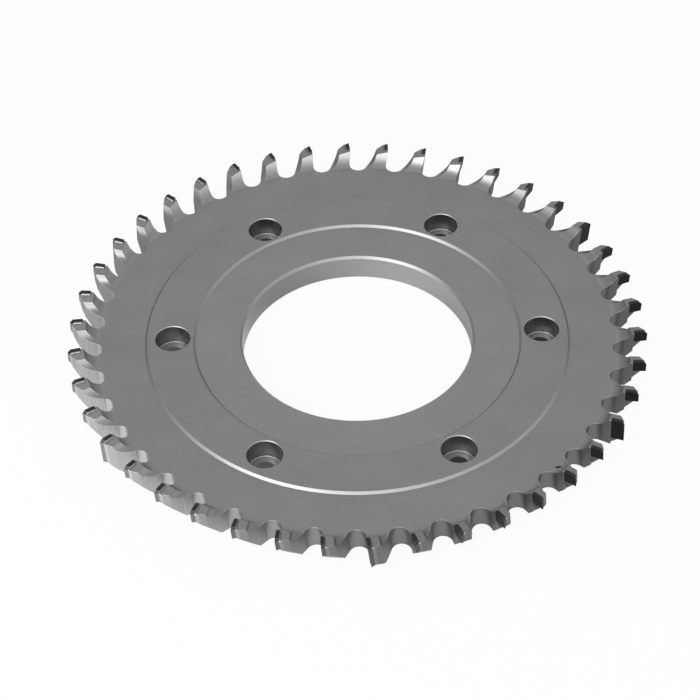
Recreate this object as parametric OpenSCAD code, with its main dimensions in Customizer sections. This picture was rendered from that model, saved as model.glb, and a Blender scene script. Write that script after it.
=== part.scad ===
// Hogging cutter, left-hand, 42 brazed tips of which every seventh is full width.
// Units are millimetres, +Z is up along the bore axis, and the origin is the centre of the underside.
// The cutter turns clockwise as seen from above, so each tooth's front face looks clockwise.

/* [Overall] */
// diameter over the outer cutting edges
cut_d = 250; // [240:1:270]
// diameter of the bore
bore_d = 100; // [80:1:110]
// underside of the hub to the top of the raised ring
body_h = 13.75; // [13:0.25:16]
// number of full-width teeth
wide_count = 6; // [6:1:6]
// teeth in one group, of which the first is full width
group = 7; // [7:1:7]
// angle of the first full-width tooth
first_angle = 31.06; // [20:0.1:40]

/* [Hub and ring] */
// inner edge of the raised ring's flat top
ring_in_r = 71.2; // [68:0.1:72]
// outer edge of the raised ring's flat top
ring_out_r = 91.06; // [90:0.1:94]
// height of the raised ring above the recess and the rim
ring_h = 1; // [0.4:0.1:1.5]
// radius of the boss on the underside
boss_r = 91; // [90:0.5:95]
// height of the boss on the underside
boss_h = 2.3; // [1:0.1:3]
// chamfer round both ends of the bore
bore_chamfer = 1; // [0.5:0.1:1.5]
// chamfer round the foot of the underside boss
boss_chamfer = 0.6; // [0.3:0.1:0.8]

/* [Fixing holes] */
// number of fixing holes
hole_count = 6; // [3:1:8]
// pitch circle diameter of the fixing holes
pitch_d = 160; // [156:1:164]
// diameter of the through holes
hole_d = 8.5; // [6:0.1:10]
// diameter of the counterbores
counter_d = 15; // [12:0.1:16]
// depth of the counterbores
counter_depth = 9.2; // [6:0.1:10]
// chamfer round the mouth of each counterbore
counter_chamfer = 0.3; // [0.1:0.05:0.5]
// corner radius that the turning tool leaves at each counterbore's floor
counter_fillet = 0.5; // [0.2:0.1:1]

/* [Gullets] */
// shear angle of the tooth faces and gullets
shear = 6; // [0:0.5:8]
// lead of the tooth's front face ahead of its own radial line
face_lead = 1.6; // [1.2:0.05:1.8]
// radius of the gullet's root
gullet_r = 4.1; // [3.9:0.05:4.25]
// depth of the gullet's centre below the cutting circle
gullet_depth = 10.6; // [10.2:0.1:11]
// depth of the narrow first facet's end below the cutting circle
facet_depth_1 = 1.7; // [1.5:0.05:1.9]
// distance of the first facet's end behind the radial line
facet_back_1 = 1.95; // [1.8:0.05:2.1]
// clearance angle of the first facet
facet_relief_1 = 30; // [25:1:35]
// depth of the second facet's end below the cutting circle
facet_depth_2 = 3.8; // [3.6:0.1:4]
// distance of the second facet's end behind the radial line
facet_back_2 = 4.2; // [4:0.1:4.4]

/* [Crown] */
// depth of the crown's foot below the cutting circle
crown_depth = 13.7; // [13.2:0.1:14]
// radius of the hollow that rises from the rim to the crown
crown_r = 7; // [6:0.5:8]
// slope of the crown's inner side
crown_slope = 58; // [52:1:62]
// height of the land's front edge above the rim
land_h = 5; // [4.6:0.05:5.2]
// length of the land, front to back
land_len = 5.27; // [4.8:0.1:5.6]
// fall of the land towards the back
land_relief = 12; // [8:1:14]
// slope of the wall behind the land
back_slope = 68; // [60:1:75]
// radius of the hollow behind the land
back_r = 4.3; // [3.6:0.1:4.6]

/* [Underside of the teeth] */
// depth of the full-width chamfer's foot below the cutting circle
wide_foot_depth = 5.65; // [5:0.1:6]
// slope of the full-width teeth's underside
wide_slope = 45; // [40:1:50]
// depth of the narrow chamfer's foot below the cutting circle
narrow_foot_depth = 8.6; // [8.2:0.1:9]
// slope of the narrow teeth's underside
narrow_slope = 53.4; // [50:0.2:56]

/* [Tips] */
// length of a tip along its face, from the seat to the cutting edge
tip_len = 5.66; // [5.4:0.02:5.8]
// thickness of a tip
tip_t = 1.6; // [1.4:0.05:1.8]
// cutting width of a full-width tip
wide_tip_h = 12; // [11:0.5:12.5]
// height of a narrow tip
narrow_tip_h = 6; // [5.5:0.5:7]
// height of the tips' top above the rim
tip_top = 5.95; // [5.7:0.05:6.1]
// lean of the tip's face, outer edge back
tip_lean = 8; // [4:0.5:10]
// bevel across the outer top corner
tip_bevel = 1.4; // [1:0.1:1.8]
// clearance behind the outer cutting edge
outer_relief = 28; // [20:1:32]
// clearance behind the top edge, from the level
top_relief = 9; // [6:1:12]
// clearance behind the bevel
bevel_relief = 20; // [12:1:24]

/* [Hidden] */
$fn = 96;
teeth = wide_count * group;
pitch = 360 / teeth;
cut_r = cut_d / 2;
bore_r = bore_d / 2;
rim_z = body_h - ring_h;
pitch_r = pitch_d / 2;
gullet_x = cut_r - gullet_depth;
// a blend crosses the face that it leaves at this small angle instead of only touching it
blend = 5;
gullet_y = -face_lead - gullet_r * cos(blend);
// corner of the seat, where the tip's inner end meets the tooth's front face
seat_x = sqrt(cut_r * cut_r - pow(tip_len * sin(tip_lean) - face_lead, 2)) - tip_len * cos(tip_lean);
// where the middle of a gash's outer end lies, as a share of the pitch
gash_mid = 0.65;
// how far cutting shapes stand outside the metal
clear = 3;
// how far the crown's shapes reach down into the rim
root = 1;
outer_r = cut_r + clear;

// a point of this tooth's plan, as seen from the tooth behind it
function ahead(p) = [
    p[0] * cos(pitch) + p[1] * sin(pitch),
    -p[0] * sin(pitch) + p[1] * cos(pitch)
];

// the point where a line from p runs on to a circle of radius r round c, with the circle on its left
function touch(p, c, r) =
    let (d = p - c, a = atan2(d[1], d[0]) - acos(r / norm(d)))
    c + r * [cos(a), sin(a)];

// tilts its children about the tooth's radial line at the height of the rim
module sheared() {
    translate([0, 0, rim_z]) rotate([shear, 0, 0]) children();
}

// the tip's own frame: x out along its face, y back through its thickness, z up from the rim
module seat_frame() {
    sheared() translate([seat_x, -face_lead, 0]) rotate([0, 0, tip_lean]) children();
}

module at_tooth(i) {
    rotate([0, 0, first_angle + i * pitch]) children();
}

// turned section of the hub, ring and rim, out past the cutting circle
module disc_section() {
    wide_foot = cut_r - wide_foot_depth;
    polygon([
        [bore_r + bore_chamfer, 0],
        [boss_r - boss_chamfer, 0],
        [boss_r, boss_chamfer],
        [boss_r, boss_h],
        [wide_foot, boss_h],
        [outer_r, boss_h + (outer_r - wide_foot) * tan(wide_slope)],
        [outer_r, rim_z],
        [ring_out_r + ring_h, rim_z],
        [ring_out_r, body_h],
        [ring_in_r, body_h],
        [ring_in_r - ring_h, rim_z],
        [bore_r + bore_chamfer, rim_z],
        [bore_r, rim_z - bore_chamfer],
        [bore_r, bore_chamfer]
    ]);
}

// section of the crown ring: a hollow that rises from the rim into a steep inner side
module crown_section() {
    foot = [cut_r - crown_depth, crown_r * cos(blend)];
    side = foot + crown_r * [sin(crown_slope), -cos(crown_slope)];
    rise = crown_r - side[1];
    difference() {
        polygon([
            [foot[0], -root],
            [outer_r, -root],
            [outer_r, crown_r],
            side + rise * [1 / tan(crown_slope), 1],
            side,
            foot
        ]);
        translate(foot) circle(r = crown_r);
    }
}

// section of one crown tooth across its length: the land, the steep wall and the hollow behind it
module land_section() {
    end = [land_len, land_h - land_len * tan(land_relief)];
    centre_z = back_r * cos(blend);
    turn = back_r * [-sin(back_slope), -cos(back_slope)];
    wall = [end[0] + (end[1] - centre_z - turn[1]) / tan(back_slope), centre_z + turn[1]];
    centre = wall - turn;
    difference() {
        polygon([
            [-clear, -root],
            [centre[0], -root],
            centre,
            wall,
            end,
            [-clear, land_h + clear * tan(land_relief)]
        ]);
        translate(centre) circle(r = back_r);
    }
}

// one crown tooth, straight along the lean of its tip, trimmed later by the ring and the gashes
module crown_tooth() {
    inner = crown_depth + clear;
    translate([seat_x, -face_lead - land_h * tan(shear), rim_z])
        rotate([90, 0, 90 + tip_lean])
            translate([0, 0, -inner])
                linear_extrude(height = inner + crown_depth) land_section();
}

module crown() {
    intersection() {
        translate([0, 0, rim_z]) rotate_extrude(angle = 360) crown_section();
        union() for (i = [0 : teeth - 1]) at_tooth(i) crown_tooth();
    }
}

// plan of the gash ahead of one tooth: its front face, the root, and the flank of the tooth ahead
module gash_plan() {
    centre = [gullet_x, gullet_y];
    end_1 = [cut_r - facet_depth_1, facet_back_1];
    start_1 = end_1 + (facet_back_1 + face_lead / 2) * [tan(facet_relief_1), -1];
    end_2 = ahead([cut_r - facet_depth_2, facet_back_2]);
    translate(centre) circle(r = gullet_r);
    polygon([
        centre,
        [gullet_x, -face_lead],
        [outer_r + clear, -face_lead],
        ahead([outer_r + clear, start_1[1]]),
        ahead(start_1),
        ahead(end_1),
        end_2,
        touch(end_2, centre, gullet_r * cos(2 * blend))
    ]);
}

module gash() {
    deep = body_h + clear;
    sheared() translate([0, 0, -deep]) linear_extrude(height = 2 * deep) gash_plan();
}

// the seat runs through the tooth from top to bottom
module seat() {
    deep = body_h + clear;
    seat_frame() translate([0, -face_lead, -deep]) cube([tip_len + clear, face_lead + tip_t, 2 * deep]);
}

// the steeper underside of one group's narrow teeth, ended in the gashes beside the wide teeth
module narrow_underside() {
    foot = cut_r - narrow_foot_depth;
    run = outer_r + clear - foot;
    rotate([0, 0, gash_mid * pitch]) rotate_extrude(angle = (group - 1) * pitch)
        polygon([
            [foot - clear / tan(narrow_slope), boss_h - clear],
            [foot + run, boss_h - clear],
            [foot + run, boss_h + run * tan(narrow_slope)]
        ]);
}

// turned section of a counterbored hole, from its axis out, reaching above and below the hub
module hole_section() {
    floor_z = body_h - counter_depth;
    counter_r = counter_d / 2;
    corner = [counter_r - counter_fillet, floor_z + counter_fillet];
    polygon([
        [0, -clear],
        [hole_d / 2, -clear],
        [hole_d / 2, floor_z],
        [corner[0], floor_z],
        corner,
        [counter_r, corner[1]],
        [counter_r, body_h - counter_chamfer],
        [counter_r + counter_chamfer + clear, body_h + clear],
        [0, body_h + clear]
    ]);
    intersection() {
        translate(corner) circle(r = counter_fillet);
        translate([corner[0], floor_z]) square(counter_fillet);
    }
}

module fixing_hole() {
    rotate_extrude(angle = 360) hole_section();
}

module cutter_body() {
    color([0.5, 0.5, 0.5]) difference() {
        union() {
            rotate_extrude(angle = 360) disc_section();
            crown();
        }
        for (i = [0 : teeth - 1]) at_tooth(i) {
            gash();
            seat();
        }
        for (i = [0 : wide_count - 1]) at_tooth(i * group) narrow_underside();
        for (i = [0 : hole_count - 1]) rotate([0, 0, i * 360 / hole_count])
            translate([pitch_r, 0, 0]) fixing_hole();
    }
}

// one tip of the given height, with clearance behind its outer edge, its top and its bevel
module tip(high) {
    over = 2 * tip_t;
    color([0.22, 0.22, 0.23]) seat_frame() translate([0, 0, tip_top - high]) difference() {
        cube([tip_len, tip_t, high]);
        translate([tip_len, 0, -clear]) rotate([0, 0, outer_relief]) cube([over, over, high + 2 * clear]);
        translate([-clear, 0, high]) rotate([-shear - top_relief, 0, 0]) cube([tip_len + 2 * clear, over, over]);
        translate([tip_len - tip_bevel, 0, high]) rotate([0, 45, 0]) rotate([-bevel_relief, 0, 0])
            translate([-over, -over, 0]) cube([4 * over, 3 * over, over]);
    }
}

module wide_tip(i) {
    at_tooth((i - 1) * group) tip(wide_tip_h);
}

// narrow tips are counted round from the first wide tip, past the wide ones
module narrow_tip(i) {
    at_tooth(i + floor((i - 1) / (group - 1))) tip(narrow_tip_h);
}

cutter_body();
for (i = [1 : wide_count]) wide_tip(i);
for (i = [1 : teeth - wide_count]) narrow_tip(i);
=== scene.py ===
# %% [markdown]
# # A hogging cutter in ground steel and carbide
# This lesson dresses a finished CAD model of a panel-machining cutter: a thick steel disc with a raised
# ring, 42 gullets, a low crown of relieved teeth, and a small brazed tip on each tooth. The shapes come
# from the CAD model and stay as they are. What is made here is the look: how ground, turned and milled
# steel differ, how carbide stays dark beside them, and how a braze fillet catches the light.

# %% Tools and the fixed frame
import bpy
import bmesh
import math
import numpy as np
from mathutils import Matrix, Vector


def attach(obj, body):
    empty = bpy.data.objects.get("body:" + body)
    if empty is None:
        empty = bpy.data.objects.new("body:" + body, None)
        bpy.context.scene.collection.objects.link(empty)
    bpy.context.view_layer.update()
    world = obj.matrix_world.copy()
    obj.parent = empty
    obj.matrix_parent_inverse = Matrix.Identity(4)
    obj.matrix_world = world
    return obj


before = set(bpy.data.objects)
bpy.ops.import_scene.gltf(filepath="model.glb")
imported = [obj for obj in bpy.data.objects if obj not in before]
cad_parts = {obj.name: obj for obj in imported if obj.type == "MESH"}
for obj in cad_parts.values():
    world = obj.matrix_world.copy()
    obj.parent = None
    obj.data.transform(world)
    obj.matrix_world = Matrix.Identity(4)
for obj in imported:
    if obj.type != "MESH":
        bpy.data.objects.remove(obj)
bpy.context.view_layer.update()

MM = 0.001
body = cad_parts["cutter_body"]
tips = [node for name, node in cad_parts.items() if name != "cutter_body"]

# %% [markdown]
# ## Sizes that the looks need
# The finishes follow the machining, so they need to know where each tooth and hole is. These few numbers
# repeat the CAD model's: the tooth pitch, the lean of the gashes, and the circle that the screw holes sit
# on. They could be measured on the mesh, but they are known exactly, and more than one cell needs them.
# Lengths in shaders are in millimetres, because that is how a toolmaker thinks of a ridge or a grain.

# %% Sizes in millimetres and degrees
RIM_Z = 12.75
RING_Z = 13.75
TEETH = 42
PITCH = 360 / TEETH
FIRST_ANGLE = 31.06
SHEAR = 6.0
HOLE_CIRCLE_R = 80.0
HOLE_STEP = math.radians(60)
COUNTER_FLOOR_Z = 4.55
print("one tooth every", round(PITCH, 4), "degrees")

# %% [markdown]
# ## The camera
# A product photo of a flat disc is usually taken from about 45 degrees with a long lens, far enough away
# that the ellipse looks calm. The numbers below were found by fitting a camera to the six screw holes,
# whose circle is known, so the render and the photo line up to about half a pixel.

# %% Camera
AZIMUTH = math.radians(-0.739)
ELEVATION = math.radians(44.917)
ROLL = math.radians(-1.014)
DISTANCE = 0.94726
SIDE_STEP = -0.003154
UP_STEP = -0.007127
LENS = 112.34
SENSOR = 36


def place_camera():
    back = Vector((math.sin(AZIMUTH) * math.cos(ELEVATION), -math.cos(AZIMUTH) * math.cos(ELEVATION),
                   math.sin(ELEVATION)))
    right = Vector((math.cos(AZIMUTH), math.sin(AZIMUTH), 0))
    up = back.cross(right)
    right_rolled = math.cos(ROLL) * right + math.sin(ROLL) * up
    up_rolled = math.cos(ROLL) * up - math.sin(ROLL) * right
    camera = bpy.data.objects.new("camera", bpy.data.cameras.new("camera"))
    bpy.context.scene.collection.objects.link(camera)
    spot = Vector((0, 0, RING_Z * MM)) + back * DISTANCE + right_rolled * SIDE_STEP + up_rolled * UP_STEP
    turn = Matrix((right_rolled, up_rolled, back)).transposed()
    camera.matrix_world = Matrix.Translation(spot) @ turn.to_4x4()
    camera.data.lens = LENS
    camera.data.sensor_width = SENSOR
    camera.data.clip_end = 50
    bpy.context.scene.camera = camera
    return camera


camera = place_camera()
print("camera at", [round(v, 4) for v in camera.matrix_world.translation])

# %% [markdown]
# ## Small helpers for shader maths
# Shader maths in Python is easier to read when one call makes a node and wires it. `wire` takes either a
# socket or a plain value. `calc` makes a Math node and `vcalc` a Vector Math node, and both give back the
# result's socket. The last two measure a position: its three coordinates, and its distance from the
# cutter's axis.

# %% Maths helpers
def wire(tree, value, socket):
    if isinstance(value, bpy.types.NodeSocket):
        tree.links.new(value, socket)
    else:
        socket.default_value = value


def calc(tree, operation, *values, clamp=False):
    node = tree.nodes.new("ShaderNodeMath")
    node.operation = operation
    node.use_clamp = clamp
    for value, socket in zip(values, node.inputs):
        wire(tree, value, socket)
    return node.outputs[0]


def vcalc(tree, operation, *values, out="Vector"):
    node = tree.nodes.new("ShaderNodeVectorMath")
    node.operation = operation
    for value, socket in zip(values, node.inputs):
        wire(tree, value, socket)
    return node.outputs[out]


def coordinates(tree, place):
    split = tree.nodes.new("ShaderNodeSeparateXYZ")
    wire(tree, place, split.inputs[0])
    return split.outputs


def axis_distance(tree, place):
    return vcalc(tree, "LENGTH", vcalc(tree, "MULTIPLY", place, (1, 1, 0)), out="Value")


print("maths helpers ready")

# %% [markdown]
# ## Helpers for colours and for node groups
# A finish often changes a colour in one of two ways: it scales it, as a shadowed grain does, or it mixes in
# a plain grey through a mask, as a stain does. `group_tree` starts a node group with named inputs and
# outputs, so that one effect can be reused in many materials, and `use_group` places it with a material's
# own values.

# %% Colour and group helpers
NUMBER = "NodeSocketFloat"
COLOUR = "NodeSocketColor"
VECTOR = "NodeSocketVector"


def scaled(tree, colour, factor):
    result = vcalc(tree, "SCALE", colour)
    wire(tree, factor, result.node.inputs["Scale"])
    return result


def toned(tree, colour, mask, grey):
    mix = tree.nodes.new("ShaderNodeMix")
    mix.data_type = "RGBA"
    wire(tree, mask, mix.inputs["Factor"])
    wire(tree, colour, mix.inputs["A"])
    mix.inputs["B"].default_value = (grey, grey, grey, 1)
    return mix.outputs["Result"]


def group_tree(name, inputs, outputs):
    tree = bpy.data.node_groups.new(name, "ShaderNodeTree")
    for label, kind, default in inputs:
        socket = tree.interface.new_socket(label, in_out="INPUT", socket_type=kind)
        socket.default_value = default
    for label, kind in outputs:
        tree.interface.new_socket(label, in_out="OUTPUT", socket_type=kind)
    return tree, tree.nodes.new("NodeGroupInput"), tree.nodes.new("NodeGroupOutput")


def use_group(tree, group, **values):
    node = tree.nodes.new("ShaderNodeGroup")
    node.node_tree = group
    for label, value in values.items():
        wire(tree, value, node.inputs[label])
    return node


print("colour and group helpers ready")

# %% [markdown]
# ## Where am I on the part, in millimetres?
# Every procedural finish starts from a position. The Object output of Texture Coordinate is in metres, so
# this first group scales it to millimetres. Keeping it in one group means that the scale is written only
# once.

# %% Group: position in millimetres
def make_place_group():
    tree, _, out = group_tree("place_mm", [], [("Place", VECTOR)])
    coords = tree.nodes.new("ShaderNodeTexCoord")
    place = vcalc(tree, "MULTIPLY", coords.outputs["Object"], (1000, 1000, 1000))
    wire(tree, place, out.inputs["Place"])
    return tree


place_mm = make_place_group()


def place_in(tree):
    return use_group(tree, place_mm).outputs["Place"]


print("group", place_mm.name)

# %% [markdown]
# ## Satin grain
# Ground and blasted steel is never one flat grey: each grain tilts the light a little, and the whole face
# carries very soft clouds. Two noises do this. A fine one varies the colour, the roughness and the height
# at the size of the grain, and a large one adds the clouds. A texture photo would repeat, and noise
# doesn't. Stretch turns the round grains into short streaks, as a grinding wheel leaves them.

# %% Group: satin grain
CLOUDS_PER_MM = 0.06


def make_grain_group():
    tree, given, out = group_tree(
        "satin_grain",
        [("Colour", COLOUR, (0.3, 0.3, 0.3, 1)), ("Grain", NUMBER, 1.2), ("Contrast", NUMBER, 0.1),
         ("Clouds", NUMBER, 0.05), ("Roughness", NUMBER, 0.4), ("Roughness Spread", NUMBER, 0.08),
         ("Stretch", VECTOR, (1, 1, 1))],
        [("Colour", COLOUR), ("Roughness", NUMBER), ("Height", NUMBER)])
    place = vcalc(tree, "MULTIPLY", place_in(tree), given.outputs["Stretch"])
    fine = tree.nodes.new("ShaderNodeTexNoise")
    fine.inputs["Detail"].default_value = 3
    wire(tree, place, fine.inputs["Vector"])
    wire(tree, given.outputs["Grain"], fine.inputs["Scale"])
    soft = tree.nodes.new("ShaderNodeTexNoise")
    soft.inputs["Detail"].default_value = 2
    soft.inputs["Scale"].default_value = CLOUDS_PER_MM
    wire(tree, place, soft.inputs["Vector"])
    fine_swing = calc(tree, "SUBTRACT", fine.outputs["Fac"], 0.5)
    soft_swing = calc(tree, "SUBTRACT", soft.outputs["Fac"], 0.5)
    shade = calc(tree, "MULTIPLY_ADD", fine_swing, given.outputs["Contrast"], 1)
    shade = calc(tree, "MULTIPLY_ADD", soft_swing, given.outputs["Clouds"], shade)
    rough = calc(tree, "MULTIPLY_ADD", fine_swing, given.outputs["Roughness Spread"],
                 given.outputs["Roughness"], clamp=True)
    wire(tree, scaled(tree, given.outputs["Colour"], shade), out.inputs["Colour"])
    wire(tree, rough, out.inputs["Roughness"])
    wire(tree, fine.outputs["Fac"], out.inputs["Height"])
    return tree


satin_grain = make_grain_group()
print("group", satin_grain.name)

# %% [markdown]
# ## Turning rings
# A lathe tool leaves a fine thread of grooves. On a flat face they are circles, on a bore they are rings
# down the wall. Both follow the sum of radius and height, so one group serves every turned surface: it
# feeds that sum to a one-dimensional noise, which gives grooves of uneven depth, as a real tool does.

# %% Group: turning rings
def make_rings_group():
    tree, given, out = group_tree(
        "turning_rings",
        [("From Axis", VECTOR, (0, 0, 0)), ("Grooves per mm", NUMBER, 2.0)],
        [("Height", NUMBER)])
    place = given.outputs["From Axis"]
    path = calc(tree, "ADD", axis_distance(tree, place), coordinates(tree, place)["Z"])
    groove = tree.nodes.new("ShaderNodeTexNoise")
    groove.noise_dimensions = "1D"
    groove.inputs["Detail"].default_value = 2
    wire(tree, path, groove.inputs["W"])
    wire(tree, given.outputs["Grooves per mm"], groove.inputs["Scale"])
    wire(tree, groove.outputs["Fac"], out.inputs["Height"])
    return tree


turning_rings = make_rings_group()
print("group", turning_rings.name)

# %% [markdown]
# ## The nearest screw hole
# The six counterbores were turned one by one, so their rings run round their own axes. This group folds the
# disc like a paper star: it turns every point back by whole sixths until it lies near the first hole, and
# then measures from that hole's axis. One material can then finish all six holes.

# %% Group: folded position round the nearest hole
def make_hole_group():
    tree, _, out = group_tree("from_hole_axis", [], [("From Axis", VECTOR)])
    place = place_in(tree)
    x, y, z = coordinates(tree, place)
    angle = calc(tree, "ARCTAN2", y, x)
    turns = calc(tree, "ROUND", calc(tree, "DIVIDE", angle, HOLE_STEP))
    local = calc(tree, "SUBTRACT", angle, calc(tree, "MULTIPLY", turns, HOLE_STEP))
    radius = axis_distance(tree, place)
    joined = tree.nodes.new("ShaderNodeCombineXYZ")
    along = calc(tree, "MULTIPLY", radius, calc(tree, "COSINE", local))
    wire(tree, calc(tree, "SUBTRACT", along, HOLE_CIRCLE_R), joined.inputs["X"])
    wire(tree, calc(tree, "MULTIPLY", radius, calc(tree, "SINE", local)), joined.inputs["Y"])
    wire(tree, z, joined.inputs["Z"])
    wire(tree, joined.outputs[0], out.inputs["From Axis"])
    return tree


from_hole_axis = make_hole_group()
print("group", from_hole_axis.name)

# %% [markdown]
# ## Where am I on the tooth?
# All 42 teeth are alike, so one folded position serves them all. The group turns every point back by whole
# tooth steps until it lies near the first tooth. It then gives the distance outward along that tooth's
# radius, the distance backward across it, how far the gash has leaned at this height, and the tooth's
# number. The step from one tooth to the next lies 2.4 degrees ahead of the tooth, in the open gullet, where
# no seam can show.

# %% Group: folded position on a tooth
FOLD_AHEAD = math.radians(2.4)


def make_tooth_group():
    tree, _, out = group_tree("on_tooth", [], [("Outward", NUMBER), ("Backward", NUMBER), ("Lean", NUMBER),
                                               ("Tooth", NUMBER)])
    place = place_in(tree)
    x, y, z = coordinates(tree, place)
    step = math.radians(PITCH)
    angle = calc(tree, "SUBTRACT", calc(tree, "ARCTAN2", y, x), math.radians(FIRST_ANGLE))
    tooth = calc(tree, "FLOOR", calc(tree, "DIVIDE", calc(tree, "ADD", angle, FOLD_AHEAD), step))
    local = calc(tree, "SUBTRACT", angle, calc(tree, "MULTIPLY", tooth, step))
    radius = axis_distance(tree, place)
    lean = calc(tree, "MULTIPLY", calc(tree, "SUBTRACT", z, RIM_Z), math.tan(math.radians(SHEAR)))
    wire(tree, calc(tree, "MULTIPLY", radius, calc(tree, "COSINE", local)), out.inputs["Outward"])
    wire(tree, calc(tree, "MULTIPLY", radius, calc(tree, "SINE", local)), out.inputs["Backward"])
    wire(tree, lean, out.inputs["Lean"])
    wire(tree, tooth, out.inputs["Tooth"])
    return tree


on_tooth = make_tooth_group()
print("group", on_tooth.name)

# %% [markdown]
# ## Ridges on the tooth backs
# The back of each tooth was milled in many short steps, which left upright ridges under a millimetre apart.
# The gash leans six degrees, but the ridges stand upright. The group measures along the straight flank of
# the folded tooth, and lets a slow noise shift the waves, so that no two teeth have the same ridges. A mask
# that does follow the lean keeps the ridges off the smooth gullet beside it.

# %% Group: ridges along the milled flank
FLANK_START = (121.2, 4.2)
FLANK_WAY = (-0.931, 0.364)
FLANK_LENGTH = 9.4
FLANK_REACH = 0.35
TOOTH_SHIFT = 7.3
DRIFTS_PER_MM = 0.6
DRIFT = 1.2


def weighed(tree, first, weight, second, other_weight):
    return calc(tree, "MULTIPLY_ADD", second, other_weight, calc(tree, "MULTIPLY", first, weight))


def make_ridge_group():
    tree, given, out = group_tree("flank_ridges", [("Ridge Step", NUMBER, 0.8)],
                                  [("Height", NUMBER), ("Mask", NUMBER)])
    here = use_group(tree, on_tooth).outputs
    outward = calc(tree, "SUBTRACT", here["Outward"], FLANK_START[0])
    upright = calc(tree, "SUBTRACT", here["Backward"], FLANK_START[1])
    leaning = calc(tree, "ADD", upright, here["Lean"])
    along = weighed(tree, outward, FLANK_WAY[0], upright, FLANK_WAY[1])
    off = weighed(tree, outward, FLANK_WAY[1], leaning, -FLANK_WAY[0])
    spot = tree.nodes.new("ShaderNodeCombineXYZ")
    wire(tree, along, spot.inputs["X"])
    wire(tree, calc(tree, "MULTIPLY", here["Tooth"], TOOTH_SHIFT), spot.inputs["Y"])
    uneven = tree.nodes.new("ShaderNodeTexNoise")
    uneven.noise_dimensions = "2D"
    uneven.inputs["Scale"].default_value = DRIFTS_PER_MM
    wire(tree, spot.outputs[0], uneven.inputs["Vector"])
    phase = calc(tree, "DIVIDE", along, given.outputs["Ridge Step"])
    phase = calc(tree, "MULTIPLY_ADD", uneven.outputs["Fac"], DRIFT, phase)
    wave = calc(tree, "SINE", calc(tree, "MULTIPLY", phase, 2 * math.pi))
    height = calc(tree, "MULTIPLY_ADD", wave, 0.5, 0.5)
    near = calc(tree, "LESS_THAN", calc(tree, "ABSOLUTE", off), FLANK_REACH)
    inside = calc(tree, "MULTIPLY", calc(tree, "GREATER_THAN", along, 0.1),
                  calc(tree, "LESS_THAN", along, FLANK_LENGTH))
    mask = calc(tree, "MULTIPLY", near, inside)
    wire(tree, calc(tree, "MULTIPLY", height, mask), out.inputs["Height"])
    wire(tree, mask, out.inputs["Mask"])
    return tree


flank_ridges = make_ridge_group()
print("group", flank_ridges.name)

# %% [markdown]
# ## Edge glints
# A machined edge is never perfectly sharp: a light deburr leaves a tiny round that flashes as it catches
# the lamp. The Bevel node rounds the shading normal near an edge without touching the mesh, and the angle
# between that normal and the true one tells how near the edge is. That makes a mask, with which the metal
# paints its edges lighter, partly as wear and partly as a painted highlight.

# %% Group: edge glints
def make_edge_group():
    tree, given, out = group_tree("edge_glint", [("Width", NUMBER, 0.00015), ("Strength", NUMBER, 3.0)],
                                  [("Mask", NUMBER), ("Normal", VECTOR)])
    rounded = tree.nodes.new("ShaderNodeBevel")
    rounded.samples = 6
    wire(tree, given.outputs["Width"], rounded.inputs["Radius"])
    true = tree.nodes.new("ShaderNodeNewGeometry")
    agree = vcalc(tree, "DOT_PRODUCT", rounded.outputs["Normal"], true.outputs["Normal"], out="Value")
    mask = calc(tree, "MULTIPLY", calc(tree, "SUBTRACT", 1.0, agree), given.outputs["Strength"], clamp=True)
    wire(tree, mask, out.inputs["Mask"])
    wire(tree, rounded.outputs["Normal"], out.inputs["Normal"])
    return tree


edge_glint = make_edge_group()
print("group", edge_glint.name)

# %% [markdown]
# ## A metal, from its grain, its edges and its machining marks
# All the finishes here are metals that differ in colour, roughness and marks. `metal` builds the common
# part: grain colour, painted lighter at the edges for wear and as a painted highlight, and a Bump node for
# the marks on top of the rounded normal.
# Each material passes its own values, and may pass a function for cut marks and one for painted ones.
# Metallic is a plain value on the shader, because it is the same all over.

# %% Metal builder
WORN_AND_GLINT_GREY = 0.85


def bumped(tree, height, depth, normal):
    bump = tree.nodes.new("ShaderNodeBump")
    bump.inputs["Distance"].default_value = depth * MM
    wire(tree, height, bump.inputs["Height"])
    wire(tree, normal, bump.inputs["Normal"])
    return bump.outputs["Normal"]


def metal(name, grey, rough, grain=1.8, contrast=0.1, clouds=0.05, spread=0.08, relief=0.02, marks=None,
          mark_depth=0.0, edge_width=0.15, edge_gain=0.35, tint=None, stretch=(1, 1, 1)):
    material = bpy.data.materials.new(name)
    material.use_nodes = True
    tree = material.node_tree
    shader = tree.nodes["Principled BSDF"]
    shader.inputs["Metallic"].default_value = 1.0
    texture = use_group(tree, satin_grain, Colour=(grey, grey, grey, 1), Grain=grain, Contrast=contrast,
                        Clouds=clouds, Roughness=rough, Stretch=stretch, **{"Roughness Spread": spread})
    edges = use_group(tree, edge_glint, Width=edge_width * MM)
    colour = texture.outputs["Colour"]
    if tint:
        colour = tint(tree, colour)
    # Edges painted lighter: partly wear, partly a painted highlight.
    worn_and_glint = calc(tree, "MULTIPLY", edges.outputs["Mask"], edge_gain)
    normal = bumped(tree, texture.outputs["Height"], relief, edges.outputs["Normal"])
    if marks:
        normal = bumped(tree, marks(tree), mark_depth, normal)
    wire(tree, toned(tree, colour, worn_and_glint, WORN_AND_GLINT_GREY), shader.inputs["Base Color"])
    wire(tree, texture.outputs["Roughness"], shader.inputs["Roughness"])
    wire(tree, normal, shader.inputs["Normal"])
    return material


print("metal builder ready")

# %% [markdown]
# ## Marks that are cut into the metal
# Turning grooves and milled ridges are a tenth of a millimetre deep at most. They could be cut into the
# mesh, but a Bump node draws them without a new face, and these functions give it its height. The hub's
# rings run round the cutter's axis and the holes' rings round their own, so both use one group, measured
# from another axis.

# %% Cut marks
def rings(tree, from_axis, per_mm):
    grooves = use_group(tree, turning_rings, **{"From Axis": from_axis, "Grooves per mm": per_mm})
    return grooves.outputs["Height"]


def hub_rings(tree):
    return rings(tree, place_in(tree), 1.6)


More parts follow.
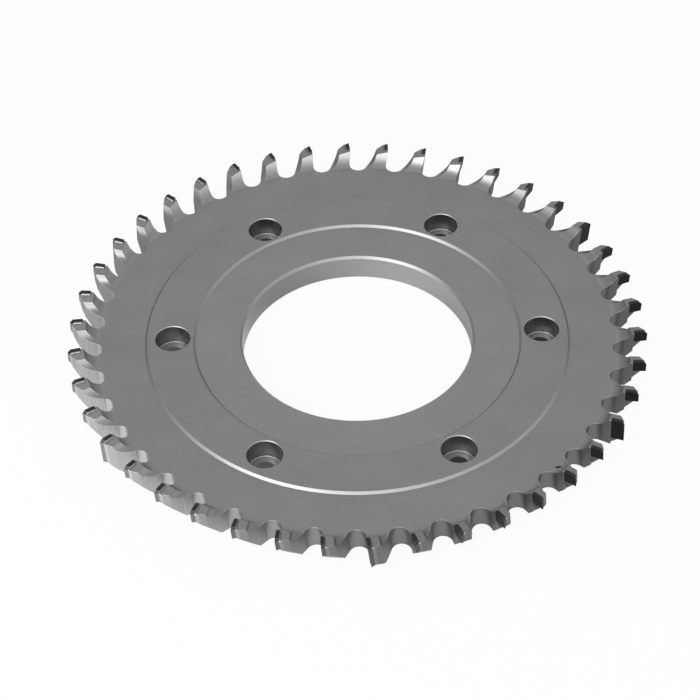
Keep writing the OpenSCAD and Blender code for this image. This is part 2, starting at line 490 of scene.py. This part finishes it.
def hole_rings(tree):
    return rings(tree, use_group(tree, from_hole_axis).outputs["From Axis"], 2.2)


def floor_rings(tree):
    return rings(tree, use_group(tree, from_hole_axis).outputs["From Axis"], 3.5)


def ridges(tree):
    return use_group(tree, flank_ridges).outputs["Height"]


print("cut marks ready")

# %% [markdown]
# ## Two forms softened by shading
# The crown runs into the flat rim over a few millimetres, and the hollow behind each land looks up a little
# more than its straight faces do. Both are too slight for more faces. A broad, smooth height does it: its
# slope tilts the shading normal by five degrees at the crown's foot and eleven in the hollow, and it leaves
# the mesh alone.

# %% Softened forms
CROWN_FOOT_R = 111.3
FOOT_TILT = 2 * math.tan(math.radians(5))
FOOT_FADE = -0.5
HOLLOW_TILT = -0.2


def foot_blend(tree):
    beyond = calc(tree, "SUBTRACT", axis_distance(tree, place_in(tree)), CROWN_FOOT_R)
    fall = calc(tree, "EXPONENT", calc(tree, "MULTIPLY", beyond, FOOT_FADE))
    return calc(tree, "MULTIPLY", fall, FOOT_TILT)


def lean_up(tree):
    return calc(tree, "MULTIPLY", coordinates(tree, place_in(tree))["Z"], HOLLOW_TILT)


print("softened forms ready")

# %% [markdown]
# ## Marks that only change the colour
# The ridges are painted lightly as well as cut: lighter on their crests and darker in their grooves. Where
# the round end of a gullet meets the straight seat wall, a soft dark line of painted shade is drawn, and the
# round end is painted lighter, as a painted reflection. A bright line of painted highlight runs round each
# counterbore floor, where the tool left a small round. Each of them is a mask made from the position.

# %% Painted lines
RIDGE_SWING = 0.3
SEAT_SHADE_R = 114.9
SEAT_SHADE_WIDTH = 0.8
SEAT_SHADE_SHARE = 0.3
SEAT_SHADE_GREY = 0.02
SHEEN_GAP = 0.7
SHEEN_RUN = 1.6
SHEEN_GAIN = 0.3
CORNER_HIGHLIGHT_HEIGHT = 0.16
CORNER_HIGHLIGHT_SHARE = 0.6
CORNER_HIGHLIGHT_GREY = 0.9


def ridge_lines(tree, colour):
    lines = use_group(tree, flank_ridges)
    middle = calc(tree, "MULTIPLY", lines.outputs["Mask"], 0.5)
    swing = calc(tree, "SUBTRACT", lines.outputs["Height"], middle)
    return scaled(tree, colour, calc(tree, "MULTIPLY_ADD", swing, RIDGE_SWING, 1.0))


# Painted shade and reflection: a soft dark line where the gullet's round end meets the seat wall, and the
# round end painted lighter.
def seat_shade_and_sheen(tree, colour):
    outward = use_group(tree, on_tooth).outputs["Outward"]
    off = calc(tree, "DIVIDE", calc(tree, "SUBTRACT", outward, SEAT_SHADE_R), SEAT_SHADE_WIDTH)
    line = calc(tree, "EXPONENT", calc(tree, "MULTIPLY", calc(tree, "MULTIPLY", off, off), -1.0))
    inward = calc(tree, "SUBTRACT", SEAT_SHADE_R - SHEEN_GAP, outward)
    sheen_ramp = calc(tree, "DIVIDE", inward, SHEEN_RUN, clamp=True)
    lighter = scaled(tree, colour, calc(tree, "MULTIPLY_ADD", sheen_ramp, SHEEN_GAIN, 1.0))
    return toned(tree, lighter, calc(tree, "MULTIPLY", line, SEAT_SHADE_SHARE), SEAT_SHADE_GREY)


# Painted highlight: a bright band on the hole wall just above the counterbore floor.
def corner_highlight(tree, colour):
    line = calc(tree, "LESS_THAN", coordinates(tree, place_in(tree))["Z"], COUNTER_FLOOR_Z + CORNER_HIGHLIGHT_HEIGHT)
    return toned(tree, colour, calc(tree, "MULTIPLY", line, CORNER_HIGHLIGHT_SHARE), CORNER_HIGHLIGHT_GREY)


print("painted lines ready")

# %% [markdown]
# ## Small blemishes
# A used tool has a few. One dark oval spot sits on the crown at the near right: a stretched distance from
# one point gives its oval, with a soft rim. The flat faces have a handful of tiny specks. A Voronoi texture
# with large cells has one point in each cell, and only the spot right at that point is darkened.

# %% Blemishes
SPOT_PLACE = (79.9, -80.1, 13.0)
SPOT_STRETCH = (0.8, 1.7, 0.3)
SPOT_R = 1.25
SPOT_EDGE = 3.0
SPOT_GREY = 0.02
SPECK_SPACING = 26
SPECK_R = 0.3
SPECK_GREY = 0.12


def dark_spot(tree, colour):
    away = vcalc(tree, "SUBTRACT", place_in(tree), SPOT_PLACE)
    away = vcalc(tree, "MULTIPLY", away, SPOT_STRETCH)
    distance = vcalc(tree, "LENGTH", away, out="Value")
    mask = calc(tree, "MULTIPLY", calc(tree, "SUBTRACT", SPOT_R, distance), SPOT_EDGE, clamp=True)
    return toned(tree, colour, mask, SPOT_GREY)


def specks(tree, colour):
    cells = tree.nodes.new("ShaderNodeTexVoronoi")
    wire(tree, place_in(tree), cells.inputs["Vector"])
    cells.inputs["Scale"].default_value = 1 / SPECK_SPACING
    mask = calc(tree, "LESS_THAN", cells.outputs["Distance"], SPECK_R / SPECK_SPACING)
    return toned(tree, colour, mask, SPECK_GREY)


print("blemishes ready")

# %% [markdown]
# ## Flat and turned steel
# The big faces are ground and left satin, so they look calm, with short streaks along the wheel's way. The
# recess in the middle was faced on a lathe first, and keeps faint rings; its grey is set a shade lighter
# than the ground faces, as a painted sheen. The chamfers and the bore are turned, a little smoother, and
# flash where they face the lamp. The crown is turned too, before the gashes cut it up.

# %% Flat and turned finishes
GRINDING = (0.7, 1, 1)
ground_steel = metal("ground_steel", 0.32, 0.42, grain=1.2, contrast=0.3, clouds=0.2, tint=specks,
                     stretch=GRINDING)
# A shade lighter than ground_steel: a painted sheen of the turned rings.
faced_steel = metal("faced_steel", 0.34, 0.42, grain=1.2, contrast=0.26, clouds=0.18, marks=hub_rings,
                    mark_depth=0.012, stretch=GRINDING)
turned_steel = metal("turned_steel", 0.36, 0.36, contrast=0.08, marks=hub_rings, mark_depth=0.006)
crown_steel = metal("crown_steel", 0.34, 0.36, contrast=0.06, marks=foot_blend, mark_depth=1.0, tint=dark_spot)
for steel in (ground_steel, faced_steel, turned_steel, crown_steel):
    print("steel:", steel.name)

# %% [markdown]
# ## Steel of the gashes
# Each wall of a gash was cut by another move of the mill, so each gets its own finish. The long flank
# behind the tooth has ridges. The round root is smooth, and its grey is set lighter, as painted light. The
# front wall below the tip is set darker, as painted shade inside the gullet. The facets on the outside were
# ground, and their grey is set lighter than the flank's, as painted light. The hollow behind the land is
# fine and even.

# %% Gash finishes
milled_steel = metal("milled_steel", 0.34, 0.44, contrast=0.08, marks=ridges, mark_depth=0.04,
                     edge_width=0.28, edge_gain=1.3, tint=ridge_lines)
# Grey set lighter than the milled flank, as painted light.
root_steel = metal("root_steel", 0.38, 0.32, contrast=0.06, edge_width=0.28, edge_gain=0.8)
# Grey set darker, as painted shade; it also takes the painted seat shade and the lighter round end.
gullet_steel = metal("gullet_steel", 0.285, 0.44, contrast=0.08, edge_width=0.28, edge_gain=0.3,
                     tint=seat_shade_and_sheen)
# Grey set lighter than the flank, as painted light.
facet_steel = metal("facet_steel", 0.44, 0.4, contrast=0.08, edge_width=0.2, edge_gain=0.8)
hollow_steel = metal("hollow_steel", 0.29, 0.36, contrast=0.04, spread=0.03, relief=0.008, marks=lean_up,
                     mark_depth=1.0)
for steel in (milled_steel, root_steel, gullet_steel, facet_steel, hollow_steel):
    print("steel:", steel.name)

# %% [markdown]
# ## Steel inside the screw holes
# The holes are dark inside, because light hardly gets in, and the steel of their walls is also set darker
# than the faces', as painted shade. The counterbore's floor was faced with a coarse feed and is lighter, and
# the drilled hole below it is set the darkest, as more painted shade, and is the roughest.

# %% Hole finishes
# Wall and drilled greys are set dark, as painted shade; the wall steel also carries the painted highlight
# above the floor.
hole_steel = metal("hole_steel", 0.26, 0.3, marks=hole_rings, mark_depth=0.02, edge_gain=0.4,
                   tint=corner_highlight)
hole_floor = metal("hole_floor", 0.4, 0.32, marks=floor_rings, mark_depth=0.1)
drilled_steel = metal("drilled_steel", 0.21, 0.4, contrast=0.15, marks=hole_rings, mark_depth=0.02)
for steel in (hole_steel, hole_floor, drilled_steel):
    print("steel:", steel.name)

# %% [markdown]
# ## Carbide and braze
# Sintered carbide is a very dark, fine metal. The cutting face is left almost black by brazing, the top is
# hardly lighter, and the sides are ground after brazing, so they are a shade lighter still. The braze
# itself is a silver alloy that froze as a small smooth fillet. Its shape, not its colour, makes it the
# brightest line.

# %% Tip and braze finishes
carbide_face = metal("carbide_face", 0.035, 0.38, grain=2.5, contrast=0.3, edge_gain=0.08, edge_width=0.08)
carbide_top = metal("carbide_top", 0.055, 0.4, grain=2.5, contrast=0.3, edge_gain=0.12, edge_width=0.1)
carbide_ground = metal("carbide_ground", 0.2, 0.42, grain=2.5, contrast=0.2, edge_gain=0.25, edge_width=0.1)
braze_silver = metal("braze_silver", 0.36, 0.36, grain=1.5, contrast=0.25, clouds=0.2, edge_gain=0.0)
for look in (carbide_face, carbide_top, carbide_ground, braze_silver):
    print("tip finish:", look.name)

# %% [markdown]
# ## Measuring the faces
# A CAD solid is one mesh, but its faces tell how they were cut: by where they are, and by the way they
# look. NumPy reads all the centres and normals at once, which is much faster than a loop over the faces.

# %% Face table
def face_table(mesh):
    count = len(mesh.polygons)
    centre = np.empty(count * 3)
    normal = np.empty(count * 3)
    mesh.polygons.foreach_get("center", centre)
    mesh.polygons.foreach_get("normal", normal)
    return centre.reshape(-1, 3) / MM, normal.reshape(-1, 3)


centre, normal = face_table(body.data)
print("body faces:", len(centre), "level ones:", int((np.abs(normal[:, 2]) > 0.999).sum()))

# %% [markdown]
# ## Sorting the body's faces by how they were made
# The body takes several material slots, and each face gets the slot of the tool that cut it. The rules read
# like a drawing. Flat and level is ground, upright walls near the teeth are milled, and the rest was
# turned. Then the exceptions follow: the land, the gullet's front and root, the facets, the crown, the
# hollow, whatever lies near a hole's axis, the recess, and the underside. A later rule wins over an earlier
# one. `backward` tells which way a wall of a gash looks: above zero it is the back of a tooth, below zero a
# tooth's front.

# %% Face sorting
BODY_FINISHES = (ground_steel, turned_steel, milled_steel, hole_steel, faced_steel, hollow_steel, hole_floor,
                 drilled_steel, root_steel, crown_steel, facet_steel, gullet_steel)
GROUND, TURNED, MILLED, HOLE, FACED, HOLLOW, FLOOR, DRILLED, ROOT, CROWN, FACET, GULLET = range(12)
TOOTH_ROOT_R = 105.0
LAND_LOW_Z = RIM_Z + 3.2
GULLET_END_R = 120.0
COUNTER_R = 7.5
RECESS_R = 71.0


def finish_of_faces(centre, normal):
    height = centre[:, 2]
    radius = np.hypot(centre[:, 0], centre[:, 1])
    angle = np.arctan2(centre[:, 1], centre[:, 0])
    local = angle - HOLE_STEP * np.round(angle / HOLE_STEP)
    from_hole = np.hypot(radius * np.cos(local) - HOLE_CIRCLE_R, radius * np.sin(local))
    outward = (centre[:, 0] * normal[:, 0] + centre[:, 1] * normal[:, 1]) / radius
    backward = (centre[:, 0] * normal[:, 1] - centre[:, 1] * normal[:, 0]) / radius
    level = np.abs(normal[:, 2]) > 0.999
    upright = np.abs(normal[:, 2]) < 0.2
    on_rim = radius > TOOTH_ROOT_R
    land = (height > LAND_LOW_Z) & (normal[:, 2] > 0.9)
    in_hole = from_hole < COUNTER_R + 0.01
    low = height < COUNTER_FLOOR_Z + 0.1
    finish = np.full(len(centre), TURNED)
    finish[level] = GROUND
    finish[upright & on_rim] = MILLED
    finish[land] = GROUND
    finish[upright & on_rim & (backward < -0.3)] = GULLET
    finish[upright & on_rim & (radius < GULLET_END_R) & (outward > 0.45)] = ROOT
    finish[upright & (radius > GULLET_END_R) & (outward > 0.8)] = FACET
    finish[(finish == TURNED) & on_rim & (height > RIM_Z)] = CROWN
    finish[on_rim & (height > RIM_Z) & (backward > 0.15) & ~land & ~upright] = HOLLOW
    finish[in_hole & (height < RING_Z - 0.4)] = HOLE
    finish[in_hole & low] = FLOOR
    finish[in_hole & low & upright] = DRILLED
    finish[level & (radius < RECESS_R) & (height > RIM_Z - 0.1)] = FACED
    finish[level & (height < 0.1)] = GROUND
    return finish


finish = finish_of_faces(centre, normal)
print("faces near the teeth:", int((np.hypot(centre[:, 0], centre[:, 1]) > TOOTH_ROOT_R).sum()))

# %% [markdown]
# ## Giving each face its finish
# The finishes become the body's material slots, in the order of the list, and every face stores the number
# of its slot. The body could be cut into pieces instead, one for each finish, but it is one solid, and slots
# leave it whole. One call sets all the numbers.

# %% Slots of the body
body.data.materials.clear()
for steel in BODY_FINISHES:
    body.data.materials.append(steel)
body.data.polygons.foreach_set("material_index", finish.astype(np.int32))
body.data.update()
print("faces by finish:", {steel.name: int((finish == k).sum()) for k, steel in enumerate(BODY_FINISHES)})

# %% [markdown]
# ## Finishing the tips
# Each tip is a small prism. Its cutting face looks clockwise, against the direction in which the teeth are
# numbered, so the sign of the normal along that direction tells the dark face from the ground sides. A
# normal that looks up tells the top.

# %% Tip faces
def finish_tip(tip):
    where, facing = face_table(tip.data)
    middle = where.mean(axis=0)
    radial = middle[:2] / np.linalg.norm(middle[:2])
    clockwise = np.array([radial[1], -radial[0]])
    front = facing[:, :2] @ clockwise > 0.9
    top = facing[:, 2] > 0.5
    tip.data.materials.clear()
    for carbide in (carbide_ground, carbide_face, carbide_top):
        tip.data.materials.append(carbide)
    tip.data.polygons.foreach_set("material_index", (front + 2 * top).astype(np.int32))
    tip.data.update()
    return int(front.sum())


fronts = [finish_tip(tip) for tip in tips]
print("tips:", len(tips), "front faces each:", sorted(set(fronts)))

# %% [markdown]
# ## A tip's own frame
# A tip sits in a leaning seat on a turned tooth, so its braze is easiest to draw in the seat's own frame:
# `u` runs outward along the tip, the second axis backward, and the third up. One matrix brings that frame
# to its tooth: a lean in the seat, a shear of the gash, and a turn round the cutter's axis.

# %% Frame of a tooth's seat
FACE_LEAD = 1.6
SEAT_R = 119.392
TIP_LEAN = 8.0
LAND_H = 5.0
LAND_FALL = math.tan(math.radians(12))


def tooth_matrix(index):
    spin = Matrix.Rotation(math.radians(FIRST_ANGLE + index * PITCH), 4, "Z")
    tilt = Matrix.Translation((0, 0, RIM_Z)) @ Matrix.Rotation(math.radians(SHEAR), 4, "X")
    seat = Matrix.Translation((SEAT_R, -FACE_LEAD, 0)) @ Matrix.Rotation(math.radians(TIP_LEAN), 4, "Z")
    return spin @ tilt @ seat


def land_at(back):
    return LAND_H - back * LAND_FALL


print("first seat at", [round(v, 2) for v in tooth_matrix(0).translation])

# %% [markdown]
# ## The braze fillets
# Each tip stands a little proud of the land behind it. Molten braze fills that step with a small hollow
# slope, which turns round the corner and runs down the outer side of the tooth. Its slope faces the bright
# panel, so it is the brightest line on the tool. A swept strip is used, with five points in each section:
# three on the slope and two hidden in the steel. Its top edge follows the tip's rear edge, which ends in a
# bevelled corner.

# %% One section of braze
TIP_T = 1.6
TIP_REAR_H = 5.36
CORNER_U = 3.85
DEPTH = 0.3
BACK_AND_UP = Vector((0, 0.87, 0.49))
OUTWARD = Vector((0.92, 0.39, 0))


def braze_section(top, foot, side, bulge=-0.07):
    top, foot = Vector(top), Vector(foot)
    middle = top.lerp(foot, 0.45) + side * bulge
    return [top, middle, foot, foot - side * DEPTH, top - side * DEPTH]


print("points in a section:", len(braze_section((0, TIP_T, TIP_REAR_H), (0, TIP_T, LAND_H), BACK_AND_UP)))

# %% [markdown]
# ## Three runs of one fillet
# The fillet is drawn in three runs: along the land, round its corner, and down the outer side of the tooth.
# Each run gives one section after another. A slow wobble that differs from tooth to tooth moves the lower
# edge. It comes from sines and not from random numbers, so no two fillets are alike, but every run of the
# script gives the same ones.

# %% Sections along one tip
CORNER_RUN = 0.95
CORNER_FALL = 0.9
SIDE_U = 4.82
SECTIONS = 10
REACH = 0.42


def braze_along_land(index):
    for i, u in enumerate(np.linspace(0.12, CORNER_U, SECTIONS)):
        wobble = 0.05 * math.sin(0.9 * i + index) + 0.03 * math.sin(2.1 * i + 2.3 * index)
        foot = TIP_T + REACH + wobble
        yield braze_section((u, TIP_T - 0.02, TIP_REAR_H), (u, foot, land_at(foot) + 0.01), BACK_AND_UP)


def braze_round_corner():
    for turn in (0.35, 0.7):
        foot = TIP_T + REACH - 0.2 * turn
        top = (CORNER_U + CORNER_RUN * turn, TIP_T - 0.02, TIP_REAR_H - CORNER_FALL * turn)
        yield braze_section(top, (CORNER_U + 0.88 * turn, foot, land_at(foot) + 0.01),
                            BACK_AND_UP.lerp(OUTWARD, turn))


def braze_down_side(index, low):
    for i, h in enumerate(np.linspace(LAND_H - 0.55, low, SECTIONS)):
        width = 0.24 + 0.06 * math.sin(0.8 * i + 1.7 * index)
        foot = (SIDE_U + 0.11 - 0.4 * width, TIP_T + width, h)
        yield braze_section((SIDE_U, TIP_T - 0.12, h), foot, OUTWARD, 0.1)


def braze_sections(index, low):
    return [*braze_along_land(index), *braze_round_corner(), *braze_down_side(index, low)]


print("braze sections on one tooth:", len(braze_sections(0, 0)))

# %% [markdown]
# ## From sections to a mesh
# The sections are joined ring by ring in bmesh. Only the two strips that show are smooth-shaded: the hidden
# ones are flat, or their normals would bleed into the visible edge. Where the slope turns the corner of the
# land, the braze leaves a flat bead that flashes on the near teeth. A squashed icosphere is enough for it.

# %% Strip and bead
BEAD_FACING = Vector((0.8, 0.05, 0.6))
BEAD_PLACE = (4.78, TIP_T + 0.35, land_at(TIP_T) - 0.25)
BEAD_LENGTH = 0.5
BEAD_WIDTH = 0.42
BEAD_THICKNESS = 0.16


def add_strip(mesh, sections):
    rows = [[mesh.verts.new(point) for point in section] for section in sections]
    sides = len(sections[0])
    for a, b in zip(rows, rows[1:]):
        for k in range(sides):
            face = mesh.faces.new((a[k], a[(k + 1) % sides], b[(k + 1) % sides], b[k]))
            face.smooth = k < 2
    mesh.faces.new(list(reversed(rows[0])))
    mesh.faces.new(rows[-1])


def add_bead(mesh, place, size):
    facing = BEAD_FACING.to_track_quat("Z", "Y").to_matrix().to_4x4()
    shape = Matrix.Diagonal((BEAD_LENGTH * size, BEAD_WIDTH * size, BEAD_THICKNESS, 1))
    bead = Matrix.Scale(MM, 4) @ place @ Matrix.Translation(BEAD_PLACE) @ facing @ shape
    bmesh.ops.create_icosphere(mesh, subdivisions=2, radius=1, matrix=bead)


print("bead:", 2 * BEAD_LENGTH, "mm long")

# %% [markdown]
# ## All the braze in one piece
# One tip in seven is wide. Its braze runs down the full cutting width, and a narrow tip's stops just below
# the rim's face. All 42 fillets share one mesh, because they are the same stuff and move together with the
# body.

# %% Braze piece
GROUP = 7
WIDE_LOW = -6.0
NARROW_LOW = -0.3


def make_braze():
    mesh = bmesh.new()
    for index in range(TEETH):
        place = tooth_matrix(index)
        sections = braze_sections(index, WIDE_LOW if index % GROUP == 0 else NARROW_LOW)
        add_strip(mesh, [[(place @ point) * MM for point in section] for section in sections])
        add_bead(mesh, place, 1 + 0.2 * math.sin(2.7 * index))
    bmesh.ops.recalc_face_normals(mesh, faces=mesh.faces)
    data = bpy.data.meshes.new("braze_fillets")
    mesh.to_mesh(data)
    mesh.free()
    for face in data.polygons:
        if len(face.vertices) == 3:
            face.use_smooth = True
    data.materials.append(braze_silver)
    piece = bpy.data.objects.new("braze_fillets", data)
    bpy.context.scene.collection.objects.link(piece)
    return piece


braze = make_braze()
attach(braze, "root")
print("braze faces:", len(braze.data.polygons))

# %% [markdown]
# ## One soft light, as a node group
# Bare steel shows its surroundings, so a metal part is lit by what it mirrors. A photographer surrounds it
# with large soft panels. Each panel is drawn here as a round glow on the sky: full strength in one
# direction, and fading smoothly with the angle from it. The group needs only that direction, a sharpness
# and a strength.

# %% Group: a soft light
def make_glow_group():
    tree, given, out = group_tree(
        "soft_light",
        [("Looking", VECTOR, (0, 0, 1)), ("Way", VECTOR, (0, 0, 1)), ("Sharpness", NUMBER, 8.0),
         ("Strength", NUMBER, 1.0)],
        [("Light", NUMBER)])
    agree = vcalc(tree, "DOT_PRODUCT", given.outputs["Looking"], given.outputs["Way"], out="Value")
    fall = calc(tree, "MULTIPLY", calc(tree, "SUBTRACT", agree, 1.0), given.outputs["Sharpness"])
    light = calc(tree, "MULTIPLY", calc(tree, "EXPONENT", fall), given.outputs["Strength"])
    wire(tree, light, out.inputs["Light"])
    return tree


soft_light = make_glow_group()


def direction(azimuth, elevation):
    turn, rise = math.radians(azimuth), math.radians(elevation)
    return (math.cos(turn) * math.cos(rise), math.sin(turn) * math.cos(rise), math.sin(rise))


def add_glows(tree, looking, level, glows):
    for azimuth, elevation, sharpness, strength in glows:
        glow = use_group(tree, soft_light, Looking=looking, Way=direction(azimuth, elevation),
                         Sharpness=sharpness, Strength=strength)
        level = calc(tree, "ADD", level, glow.outputs["Light"])
    return level


print("group", soft_light.name)

# %% [markdown]
# ## What the steel sees of the table
# Rays that bounce off the steel see the table as it is lit: plain all round, brighter at the near left,
# where the big panel stands close to it, dark under the disc, and bright again where the light falls
# through the bore. Real lamps could do this, but they would need many more samples. A glow that is worked
# out from the place on the table is steady, and it leaves the shadow that the camera sees alone.

# %% Light on the table
TABLE_LEVEL = 0.38
TABLE_GLOW = (210, 0, 4.0, 1.13)
UNDER_MIDDLE = 0.082
UNDER_HALF = 0.03
UNDER_DARK = -0.6
BORE_LIGHT_R = 0.05
BORE_LEVEL = 0.1
BORE_GLOW = (65, 0, 4.0, 0.55)


def table_light(tree):
    place = tree.nodes.new("ShaderNodeTexCoord").outputs["Object"]
    outward = vcalc(tree, "NORMALIZE", place)
    radius = vcalc(tree, "LENGTH", place, out="Value")
    light = add_glows(tree, outward, TABLE_LEVEL, [TABLE_GLOW])
    off = calc(tree, "ABSOLUTE", calc(tree, "SUBTRACT", radius, UNDER_MIDDLE))
    under = calc(tree, "LESS_THAN", off, UNDER_HALF)
    light = calc(tree, "MULTIPLY", light, calc(tree, "MULTIPLY_ADD", under, UNDER_DARK, 1.0))
    in_bore = add_glows(tree, outward, BORE_LEVEL, [BORE_GLOW])
    return calc(tree, "MULTIPLY_ADD", calc(tree, "LESS_THAN", radius, BORE_LIGHT_R), in_bore, light)


print("glows on the table:", TABLE_GLOW, BORE_GLOW)

# %% [markdown]
# ## Floor and background
# The photo stands on pure white. To the camera this floor is mostly a steady white glow, mixed with a
# little real shading that keeps the shadow under the cutter. Seen from below the table is clear, as a glass
# table would be, so that the underside of the cutter can be looked at too. It lies a hair below the cutter,
# because two faces in exactly one plane would flicker.

# %% Floor
TABLE_DROP = 0.02 * MM
GLOW_SHARE = 0.93


def blended(tree, factor, first, second):
    mix = tree.nodes.new("ShaderNodeMixShader")
    wire(tree, factor, mix.inputs["Fac"])
    wire(tree, first, mix.inputs[1])
    wire(tree, second, mix.inputs[2])
    return mix.outputs[0]


def table_material():
    material = bpy.data.materials.new("white_table")
    material.use_nodes = True
    tree = material.node_tree
    shader = tree.nodes["Principled BSDF"]
    shader.inputs["Base Color"].default_value = (0.8, 0.8, 0.8, 1)
    shader.inputs["Roughness"].default_value = 0.8
    path = tree.nodes.new("ShaderNodeLightPath")
    bounced = calc(tree, "MAXIMUM", path.outputs["Is Glossy Ray"], path.outputs["Is Transmission Ray"])
    glow = tree.nodes.new("ShaderNodeEmission")
    above_white = calc(tree, "SUBTRACT", table_light(tree), 1.0)
    wire(tree, calc(tree, "MULTIPLY_ADD", bounced, above_white, 1.0), glow.inputs["Strength"])
    share = calc(tree, "MULTIPLY_ADD", path.outputs["Is Camera Ray"], GLOW_SHARE, bounced)
    table = blended(tree, share, shader.outputs["BSDF"], glow.outputs["Emission"])
    side = tree.nodes.new("ShaderNodeNewGeometry")
    from_below = calc(tree, "MULTIPLY", path.outputs["Is Camera Ray"], side.outputs["Backfacing"])
    clear = tree.nodes.new("ShaderNodeBsdfTransparent")
    one_sided = blended(tree, from_below, table, clear.outputs[0])
    wire(tree, one_sided, tree.nodes["Material Output"].inputs["Surface"])
    return material


bpy.ops.mesh.primitive_plane_add(size=6, location=(0, 0, -TABLE_DROP))
floor = bpy.context.object
floor.name = "floor"
floor.data.materials.append(table_material())
print("floor:", floor.name)

# %% [markdown]
# ## The studio round the cutter
# The flashes tell where the panels stood. The ring's chamfers flash at the near left, the crown at the far
# right and the tooth backs at the left, and all of them lead to one tall bright side: low in front, a
# little to the left. Weaker panels at the right and behind keep the flat faces and the far walls from going
# black. Each row gives azimuth, elevation, sharpness and strength. To the camera itself the studio is plain
# white.

# %% World
STUDIO_LEVEL = 0.4
STUDIO_GLOWS = [
    (255, 0, 3.0, 3.25),
    (210, 0, 19.0, 2.4),
    (315, 0, 19.0, 1.6),
    (0, 12, 8.0, 0.5),
    (90, 55, 19.0, 0.36),
    (90, 12, 19.0, 0.27),
    (330, 75, 8.0, 0.3),
]


def make_world():
    world = bpy.data.worlds.new("studio")
    bpy.context.scene.world = world
    world.use_nodes = True
    tree = world.node_tree
    sky = tree.nodes["Background"]
    looking = tree.nodes.new("ShaderNodeTexCoord").outputs["Generated"]
    light = add_glows(tree, looking, STUDIO_LEVEL, STUDIO_GLOWS)
    path = tree.nodes.new("ShaderNodeLightPath")
    above_light = calc(tree, "SUBTRACT", 1.0, light)
    seen = calc(tree, "MULTIPLY_ADD", path.outputs["Is Camera Ray"], above_light, light)
    wire(tree, seen, sky.inputs["Strength"])
    sky.inputs["Color"].default_value = (1, 1, 1, 1)
    return world


world = make_world()
print("panels in the world:", len(STUDIO_GLOWS))

# %% [markdown]
# ## Lamp
# The main panel is a real area lamp, so that it also throws a soft shadow. It hangs to the left of the
# camera at 40 degrees. It is a large soft square, which spreads each flash over a good part of the ring.

# %% Lamp
def area_lamp(name, way, distance, size, power):
    lamp = bpy.data.objects.new(name, bpy.data.lights.new(name, "AREA"))
    bpy.context.scene.collection.objects.link(lamp)
    lamp.location = Vector(way) * distance
    lamp.rotation_euler = Vector(way).to_track_quat("Z", "Y").to_euler()
    lamp.data.size = size
    lamp.data.energy = power
    return lamp


key = area_lamp("key", direction(225, 40), distance=1.2, size=0.7, power=3.3)
print("key lamp at", [round(v, 3) for v in key.location])

# %% [markdown]
# ## Colours as they are
# The Standard view shows each colour as it is written, which a white background and grey steel need.

# %% View settings
bpy.context.scene.view_settings.view_transform = "Standard"
